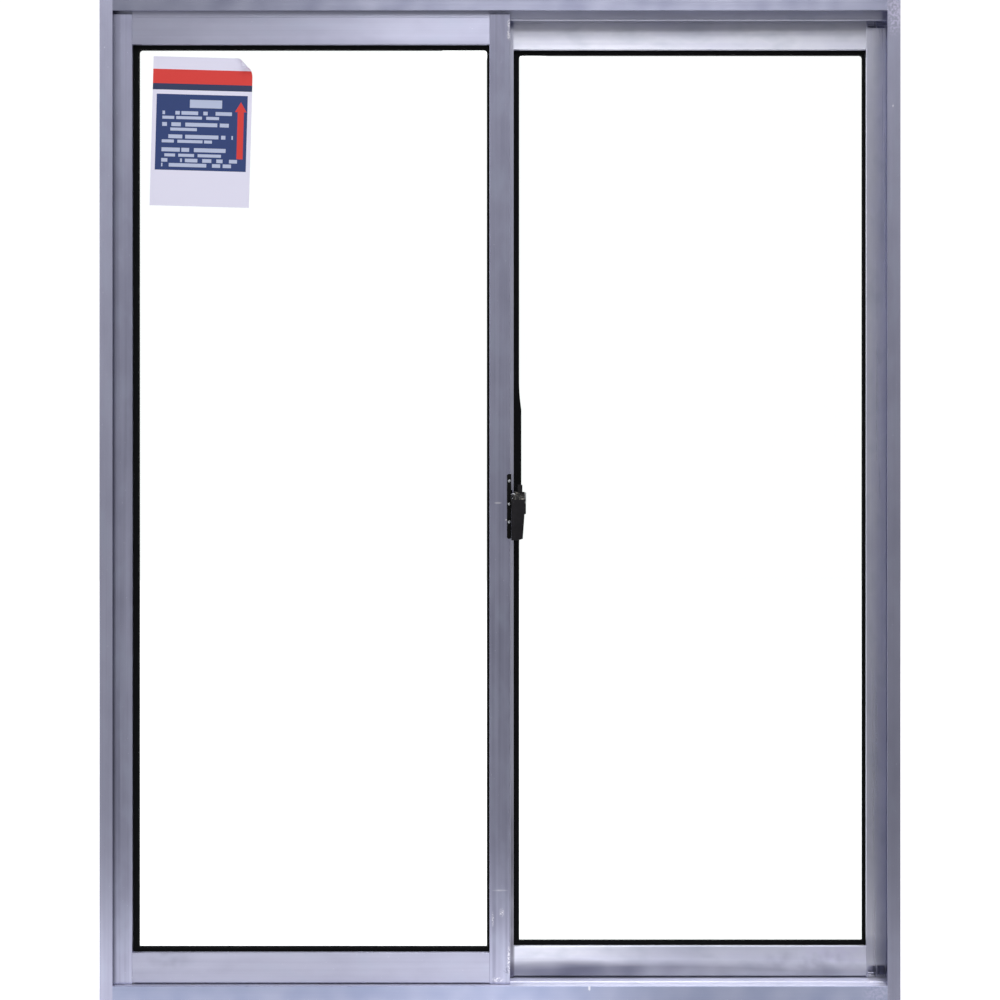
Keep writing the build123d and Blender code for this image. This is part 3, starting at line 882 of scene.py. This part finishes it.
# Reach and rise of each step of a pan head, then its cross recess, all as shares of its radius.
PAN_STEPS = ((1.0, 0.22), (0.9, 0.2), (0.72, 0.12), (0.6, 0.04))
PAN_SIDES = 24
RECESS_DEPTH, RECESS_REACH, RECESS_ARM = 0.35, 0.48, 0.2


def pan_head(bm: BMesh, radius_mm: float, place: Matrix) -> None:
    """Add a pan-head screw with a cross recess, seated at the origin of its place and facing its Z.

    Args:
        bm: Mesh that gets the screw.
        radius_mm: Radius of the head.
        place: Where the seat is and which way the head faces.
    """
    radius = radius_mm * MM
    before = set(bm.verts)
    ring = bmesh.ops.create_circle(bm, segments=PAN_SIDES, radius=radius)["verts"]
    edges = list(dict.fromkeys(edge for vert in ring for edge in vert.link_edges))
    reach = 1.0
    for next_reach, rise in PAN_STEPS:
        edges, verts = pull_out(bm, edges, rise * radius)
        share = next_reach / reach
        bmesh.ops.scale(bm, verts=verts, vec=(share, share, 1.0))
        reach = next_reach
    top = verts[0].co.z
    depth = RECESS_DEPTH * radius
    floor = Matrix.Translation((0.0, 0.0, top - depth))
    recess = bmesh.ops.create_grid(
        bm, x_segments=3, y_segments=3, size=RECESS_REACH * radius, matrix=floor
    )["verts"]
    plate = faces_round(recess)
    arm = RECESS_ARM * radius
    corners = [
        face
        for face in plate
        if abs(face.calc_center_median().x) > arm and abs(face.calc_center_median().y) > arm
    ]
    bmesh.ops.delete(bm, geom=corners, context="FACES")
    rim = [edge for face in plate if face.is_valid for edge in face.edges if edge.is_boundary]
    lip, _ = pull_out(bm, rim, depth)
    bmesh.ops.triangle_fill(bm, use_beauty=True, edges=edges + lip)
    screw = [vert for vert in bm.verts if vert not in before]
    bmesh.ops.recalc_face_normals(bm, faces=faces_round(screw))
    bmesh.ops.transform(bm, matrix=place, verts=screw)


@dataclass
class JambScrews:
    """Screws through the jambs into the ports of sill and head."""

    radius_mm: float = 3.7
    seat_mm: float = 400.0
    depth_mm: float = 5.5
    heights_mm: tuple[float, ...] = (3.8, 996.2)
    # Small heads that catch the light as bright points.
    steel: PlainFinish = PlainFinish(
        "zinc-plated steel, cold-headed", "#C9CACF", "#A9ABB1", 0.3, grain_mm=(0.8, 0.003), metallic=1.0
    )

    def build(self) -> None:
        """Drive two screws into each end of both jambs."""
        bm = bmesh.new()
        for side in (-1, 1):
            for depth in (-self.depth_mm, self.depth_mm):
                for height in self.heights_mm:
                    seat = Vector((side * self.seat_mm, depth, height)) * MM
                    turn = Matrix.Rotation(side * pi / 2, 4, "Y")
                    pan_head(bm, self.radius_mm, Matrix.Translation(seat) @ turn)
        finish_piece(bm, "jamb_screws", self.steel.build())


@dataclass
class Latch:
    """Black lever latch on the front meeting stile."""

    # Charcoal with a fine spark texture: dark, with a broad soft sheen.
    plastic: PlainFinish = PlainFinish(
        "black polyamide, moulded", "#1B191E", "#121115", 0.46, grain_mm=(0.4, 0.015), specular=0.22
    )
    # The plate's smoother face mirrors less of the room and looks deeper black than the lever.
    smooth: PlainFinish = PlainFinish(
        "smooth black polyamide, moulded", "#0A0A0C", "#050506", 0.4, grain_mm=(0.5, 0.01), specular=0.12
    )
    # Ribs rubbed pale by thumbs: warm grey flecks on black, drawn coarser than real wear.
    worn: PlainFinish = PlainFinish(
        "black polyamide, worn knurl",
        "#B3AFA6",
        "#141316",
        0.5,
        grain_mm=(0.8, 0.05),
        specular=0.3,
        shade_below=1.02,
        tone_above=1.2,
    )
    # Smooth and bright, so that pivot, spring and screws sparkle on the black.
    steel: PlainFinish = PlainFinish(
        "bright zinc-plated steel, turned", "#D2D4D8", "#B4B6BB", 0.28, grain_mm=(0.8, 0.003), metallic=1.0
    )
    edge_radius_mm: float = 0.5
    screw_radius_mm: float = 1.45
    screw_x_mm: float = 9.2
    screw_heights_mm: tuple[float, ...] = (519.0, 496.0, 478.0)
    flange_face_mm: float = -22.2
    pivot_mm: Pair = (-23.5, 500.5)
    knurl_radius_mm: float = 7.3
    knurl_depth_mm: float = 0.4
    knurl_span_mm: Pair = (13.1, 24.4)
    knurl_sides: int = 56
    spring_center_mm: Triple = (13.0, -29.0, 504.2)
    spring_radius_mm: float = 2.2
    spring_turn_deg: float = 150.0
    spring_steps: int = 14
    wire_radius_mm: float = 0.45
    wire_sides: int = 10

    def build(self) -> None:
        """Round the moulded parts, dress the steel ones and add the small metal parts."""
        plastic = self.plastic.build()
        steel = self.steel.build()
        for node, name, material in (
            ("latch_plate", "latch_base", self.smooth.build()),
            ("latch_lever", "latch_grip", plastic),
        ):
            finish_piece(rounded_copy(node, self.edge_radius_mm), name, material, (node,))
        dress("latch_pawl", plastic)
        dress("latch_pivot", steel)
        finish_piece(self.knurl(), "latch_knurl", self.worn.build())
        finish_piece(self.screws(), "latch_screws", steel)
        finish_piece(self.spring(), "latch_spring", steel)

    def screws(self) -> BMesh:
        """Screws through the flange into the stile.

        Returns:
            Mesh of the three heads.
        """
        bm = bmesh.new()
        facing = Matrix.Rotation(pi / 2, 4, "X")
        for height in self.screw_heights_mm:
            seat = Vector((self.screw_x_mm, self.flange_face_mm, height)) * MM
            pan_head(bm, self.screw_radius_mm, Matrix.Translation(seat) @ facing)
        return bm

    def knurl(self) -> BMesh:
        """Ribbed half sleeve over the top of the lever's barrel.

        Returns:
            Mesh of the sleeve.
        """
        bm = bmesh.new()
        left, right = self.knurl_span_mm
        depth, height = self.pivot_mm
        center = Vector(((left + right) / 2, depth, height)) * MM
        along = Matrix.Rotation(pi / 2, 4, "Y")
        bmesh.ops.create_cone(
            bm,
            cap_ends=True,
            segments=self.knurl_sides,
            radius1=self.knurl_radius_mm * MM,
            radius2=self.knurl_radius_mm * MM,
            depth=(right - left) * MM,
            matrix=Matrix.Translation(center) @ along,
        )
        walls = [face for face in bm.faces if len(face.verts) == 4]
        walls.sort(key=lambda face: (face.calc_center_median() - center).yz.angle_signed((1.0, 0.0), 0.0))
        grown = bmesh.ops.extrude_discrete_faces(bm, faces=walls[::2])["faces"]
        for face in grown:
            bmesh.ops.translate(bm, verts=face.verts, vec=face.normal * self.knurl_depth_mm * MM)
        bmesh.ops.bisect_plane(
            bm,
            geom=bm.verts[:] + bm.edges[:] + bm.faces[:],
            plane_co=center,
            plane_no=(0.0, 0.0, -1.0),
            clear_outer=True,
        )
        return bm

    def spring(self) -> BMesh:
        """Leg of the return spring, bent over the barrel's left end.

        Returns:
            Mesh of the bent wire.
        """
        bm = bmesh.new()
        center = Vector(self.spring_center_mm) * MM
        start = center + Vector((self.spring_radius_mm, 0.0, 0.0)) * MM
        ring = bmesh.ops.create_circle(
            bm,
            cap_ends=True,
            segments=self.wire_sides,
            radius=self.wire_radius_mm * MM,
            matrix=Matrix.Translation(start),
        )["verts"]
        bmesh.ops.spin(
            bm,
            geom=faces_round(ring),
            cent=center,
            axis=(0.0, -1.0, 0.0),
            angle=radians(self.spring_turn_deg),
            steps=self.spring_steps,
            use_merge=False,
            use_duplicate=False,
        )
        bmesh.ops.recalc_face_normals(bm, faces=bm.faces)
        return bm


@dataclass
class Label:
    """Paper label on the front pane, with a rolled corner."""

    width_mm: float = 100.0
    height_mm: float = 150.0
    centre_mm: Triple = (-300.5, -13.62, 869.9)
    turn_deg: float = 1.6
    thickness_mm: float = 0.1
    columns: int = 60
    rows: int = 90
    curl_reach_mm: float = 14.5
    curl_radius_mm: float = 5.0
    white: str = "#E6E4F7"
    red: str = "#DC3630"
    navy: str = "#243159"
    blue: str = "#223A74"
    bar: str = "#BAC3DE"
    bar_left: float = 10.5
    # Plain dull white where the rolled corner shows the sheet's back.
    back: PlainFinish = PlainFinish(
        "label paper, uncoated back", "#F2F2F4", "#E8E8EB", 0.7, grain_mm=(0.6, 0.02)
    )

    def blocks(self) -> tuple[Block, ...]:
        """Printed blocks, without words: bands, a panel and plain bars on it.

        Returns:
            The blocks in the order in which they are laid.
        """
        # Head, height and right end of each bar.
        bars = [
            Block(self.bar_left, right, head - tall, head, self.bar, broken=True)
            for head, tall, right in (
                (95.5, 3.6, 81.0),
                (90.4, 3.0, 67.5),
                (84.0, 3.8, 77.5),
                (78.7, 3.0, 45.5),
                (71.8, 3.8, 82.0),
                (66.6, 3.0, 61.0),
                (58.6, 4.0, 77.0),
                (52.6, 3.0, 71.5),
                (47.8, 3.6, 90.0),
                (43.0, 3.6, 84.0),
            )
        ]
        return (
            Block(0.0, 100.0, 123.0, 137.4, self.red),
            Block(0.0, 100.0, 116.7, 123.0, self.navy),
            Block(4.2, 95.8, 36.0, 112.4, self.blue),
            Block(37.8, 70.2, 99.0, 107.2, self.bar),
            *bars,
        )

    def build(self) -> None:
        """Build the sheet, roll its corner and stick it on the pane."""
        # Cool white with a slight gloss, and flat printed colours.
        paper = PrintedPaper(
            "coated label paper, printed",
            self.width_mm,
            self.height_mm,
            self.blocks(),
            Block(83.4, 95.0, 48.6, 106.0, self.red),
            self.white,
        )
        bm = bmesh.new()
        bm.loops.layers.uv.new("sheet")
        bmesh.ops.create_grid(
            bm,
            x_segments=self.columns,
            y_segments=self.rows,
            size=0.5,
            matrix=Matrix.Diagonal((self.width_mm * MM, self.height_mm * MM, 1.0, 1.0)),
            calc_uvs=True,
        )
        self.roll_corner(bm)
        bmesh.ops.solidify(bm, geom=bm.faces[:], thickness=self.thickness_mm * MM)
        self.mark_back(bm)
        stand = Matrix.Rotation(pi / 2, 4, "X")
        turn = Matrix.Rotation(radians(self.turn_deg), 4, "Y")
        move = Matrix.Translation(Vector(self.centre_mm) * MM)
        bmesh.ops.transform(bm, matrix=move @ turn @ stand, verts=bm.verts)
        finish_piece(bm, "pane_label", paper.build(), second=self.back.build())

    def roll_corner(self, bm: BMesh) -> None:
        """Roll the upper right corner of the flat sheet towards the room.

        Args:
            bm: Flat sheet, changed in place.
        """
        corner = Vector((self.width_mm / 2, self.height_mm / 2, 0.0)) * MM
        inward = Vector((1.0, 1.0, 0.0)).normalized()
        reach, radius = self.curl_reach_mm * MM, self.curl_radius_mm * MM
        for vert in bm.verts:
            past = (vert.co - corner).dot(inward) + reach
            if past > 0:
                turned = past / radius
                vert.co += inward * (radius * sin(turned) - past)
                vert.co.z += radius * (1 - cos(turned))

    def mark_back(self, bm: BMesh) -> None:
        """Give the side that faces the glass the second material, by its winding on the flat part.

        Args:
            bm: Thickened sheet, changed in place.
        """
        bm.normal_update()
        bm.faces.ensure_lookup_table()
        half = len(bm.faces) // 2
        first_down = bm.faces[0].normal.z < 0
        for face in bm.faces:
            on_first_side = face.index < half
            face.material_index = 1 if on_first_side == first_down else 0


@dataclass
class Studio:
    """Camera, floor, world and lamps around the window.

    The metal mirrors a pale sheet on the floor in front of the window and a room whose light changes from
    side to side; places along X run from left to right and stand with the share of light at each.
    """

    eye: Triple = (0.0, -1.827, 0.545)
    lens_mm: float = 64.9
    shift_up: float = -0.045
    floor_size: float = 12.0
    floor_tones: tuple[str, str] = ("#EDEDF0", "#F4F4F6")
    floor_grain: Pair = (3.0, 3.0)
    floor_glow: float = 0.7
    sheet_centre: Triple = (-0.03, -0.05, 0.0)
    sheet_shape: Triple = (0.5, 1.0, 1.0)
    sheet_reach: Pair = (0.06, 0.7)
    sheet_light: Pair = (1.7, 0.75)
    sheet_sides: tuple[Pair, ...] = ((-0.4, 0.76), (-0.2, 0.64), (0.0, 0.85), (0.2, 0.28), (0.4, 0.4))
    upper_light: float = 2.0
    upper_rise: Pair = (0.2, 0.6)
    upper_sides: tuple[Pair, ...] = ((-0.3, 0.14), (-0.14, 0.2), (0.03, 1.0), (0.12, 0.88), (0.4, 0.75))
    level_sides: tuple[Pair, ...] = ((-0.4, 0.66), (-0.2, 0.5), (0.0, 0.4), (0.2, 0.3), (0.4, 0.3))
    back_turn: Pair = (-0.35, 0.15)
    room_light: float = 0.62
    surround_light: float = 1.06
    lamps: tuple[tuple[str, Triple, float, float], ...] = (
        ("key lamp", (0.25, -2.0, 2.35), 1.2, 13.0),
        ("left lamp", (-2.6, -1.6, 1.6), 1.6, 12.0),
        ("right lamp", (2.6, -1.6, 1.6), 1.6, 6.0),
        ("back lamp", (0.6, 2.6, 2.4), 1.8, 20.0),
    )
    aim: Triple = (0.0, 0.0, 0.5)

    def build(self) -> None:
        """Set up the studio."""
        self.place_camera()
        self.lay_floor()
        self.light_room()
        for name, place, size, power in self.lamps:
            self.hang_lamp(name, place, size, power)

    def place_camera(self) -> None:
        """Place the camera level, in front of the window."""
        camera = bpy.data.cameras.new("camera")
        camera.lens = self.lens_mm
        camera.shift_y = self.shift_up
        eye = bpy.data.objects.new("camera", camera)
        eye.location = self.eye
        eye.rotation_euler = (pi / 2, 0.0, 0.0)
        bpy.context.scene.collection.objects.link(eye)
        bpy.context.scene.camera = eye

    def lay_floor(self) -> None:
        """Lay a pale floor that stays white to the camera and keeps the window's shadow."""
        material, tree = start_material("pale studio floor")
        grain = add(tree, "TexNoise", dict(zip(("Scale", "Detail"), self.floor_grain)))
        dark, pale = (linear(tone) for tone in self.floor_tones)
        tone = add(tree, "Mix", {0: grain, 6: dark, 7: pale}, data_type="RGBA")
        paper = add(tree, "BsdfDiffuse", {"Color": tone})
        glow = add(tree, "Emission", {"Color": linear(WHITE), "Strength": self.floor_glow})
        black = add(tree, "Emission", {"Strength": 0.0})
        path = add(tree, "LightPath")
        seen = self.seen(tree, path)
        extra = add(tree, "MixShader", {0: seen, 1: black, 2: glow})
        total = add(tree, "AddShader", {0: paper, 1: extra})
        place = add(tree, "TexCoord").outputs["Object"]
        shifted = add(tree, "VectorMath", {0: place, 1: self.sheet_centre}, operation="SUBTRACT")
        oval = add(tree, "VectorMath", {0: shifted, 1: self.sheet_shape}, operation="MULTIPLY")
        away = add(tree, "VectorMath", {0: oval}, operation="LENGTH")
        mirrored = add(
            tree, "MapRange", span(away, self.sheet_reach, self.sheet_light), interpolation_type="SMOOTHSTEP"
        )
        side = self.by_side(tree, add(tree, "SeparateXYZ", {0: place}).outputs["X"], self.sheet_sides)
        lit = add(tree, "Math", {0: mirrored, 1: side}, operation="MULTIPLY")
        shown = add(tree, "Emission", {"Strength": lit})
        unseen = {0: path.outputs["Is Glossy Ray"], 1: seen}
        glossy = add(tree, "Math", unseen, operation="SUBTRACT", use_clamp=True)
        surface = add(tree, "MixShader", {0: glossy, 1: total, 2: shown})
        add(tree, "OutputMaterial", {"Surface": surface})
        bm = bmesh.new()
        bmesh.ops.create_grid(bm, x_segments=1, y_segments=1, size=self.floor_size / 2)
        mesh = bpy.data.meshes.new("studio_floor")
        bm.to_mesh(mesh)
        bm.free()
        mesh.materials.append(material)
        floor = bpy.data.objects.new("studio_floor", mesh)
        bpy.context.scene.collection.objects.link(floor)

    def light_room(self) -> None:
        """White surround, with a dimmer room behind the camera for the metal to mirror."""
        world = bpy.data.worlds.new("studio")
        bpy.context.scene.world = world
        tree = start_tree(world)
        ray = add(tree, "TexCoord").outputs["Generated"]
        split = add(tree, "SeparateXYZ", {0: ray})
        across, depth, height = (split.outputs[axis] for axis in "XYZ")
        upper = add(
            tree,
            "Math",
            {0: self.by_side(tree, across, self.upper_sides), 1: self.upper_light},
            operation="MULTIPLY",
        )
        rise = add(tree, "MapRange", span(height, self.upper_rise), interpolation_type="SMOOTHSTEP")
        behind = add(tree, "MapRange", span(depth, self.back_turn), interpolation_type="SMOOTHSTEP")
        path = add(tree, "LightPath")
        light = self.by_side(tree, across, self.level_sides)
        for share, other in ((rise, upper), (behind, 1.0)):
            light = add(tree, "Mix", {0: share, 2: light, 3: other}, data_type="FLOAT")
        glossy = path.outputs["Is Glossy Ray"]
        light = add(tree, "Mix", {0: glossy, 2: self.room_light, 3: light}, data_type="FLOAT")
        light = add(
            tree, "Mix", {0: self.seen(tree, path), 2: light, 3: self.surround_light}, data_type="FLOAT"
        )
        surround = add(tree, "Background", {"Color": linear(WHITE), "Strength": light})
        add(tree, "OutputWorld", {"Surface": surround})

    @staticmethod
    def seen(tree: NodeTree, path: Node) -> Source:
        """Whether a ray comes from the camera, straight or through the glass.

        Args:
            tree: Node tree that gets the test.
            path: Light path of the ray.

        Returns:
            One where it does.
        """
        rays = {0: path.outputs["Is Camera Ray"], 1: path.outputs["Is Transmission Ray"]}
        return add(tree, "Math", rays, operation="MAXIMUM")

    @staticmethod
    def by_side(tree: NodeTree, across: Source, stops: tuple[Pair, ...]) -> Source:
        """Brightness that changes from left to right.

        Args:
            tree: Node tree that gets the ramp.
            across: Place or direction along X, from -0.5 to 0.5.
            stops: Places with the share of light at each.

        Returns:
            Share of light at the place.
        """
        half = 0.5
        shifted = add(tree, "Math", {0: across, 1: half}, operation="ADD")
        node = add(tree, "ValToRGB", {0: shifted})
        elements = node.color_ramp.elements
        node.color_ramp.interpolation = "EASE"
        elements.remove(elements[-1])
        for index, (place, share) in enumerate(stops):
            element = elements.new(place + half) if index else elements[0]
            element.position = place + half
            element.color = (share, share, share, 1.0)
        return node

    def hang_lamp(self, name: str, place: Triple, size: float, power: float) -> None:
        """Hang one large soft lamp that faces the window.

        Args:
            name: Name of the lamp.
            place: Where it hangs.
            size: Side of its square face.
            power: Light that it gives, in watts.
        """
        light = bpy.data.lights.new(name, "AREA")
        light.size = size
        light.energy = power
        lamp = bpy.data.objects.new(name, light)
        lamp.location = place
        lamp.rotation_euler = (Vector(self.aim) - Vector(place)).to_track_quat("-Z", "Y").to_euler()
        bpy.context.scene.collection.objects.link(lamp)


def main() -> None:
    """Dress the frame, add the fittings and set up the studio."""
    logging.basicConfig(level=logging.INFO, format="%(name)s: %(message)s")
    bpy.context.scene.view_settings.view_transform = "Standard"
    for part in (Studio, Profiles, Glazing, RunningGear, BrushSeals, Latch, JambScrews, Label):
        part().build()


if __name__ == "__main__":
    main()
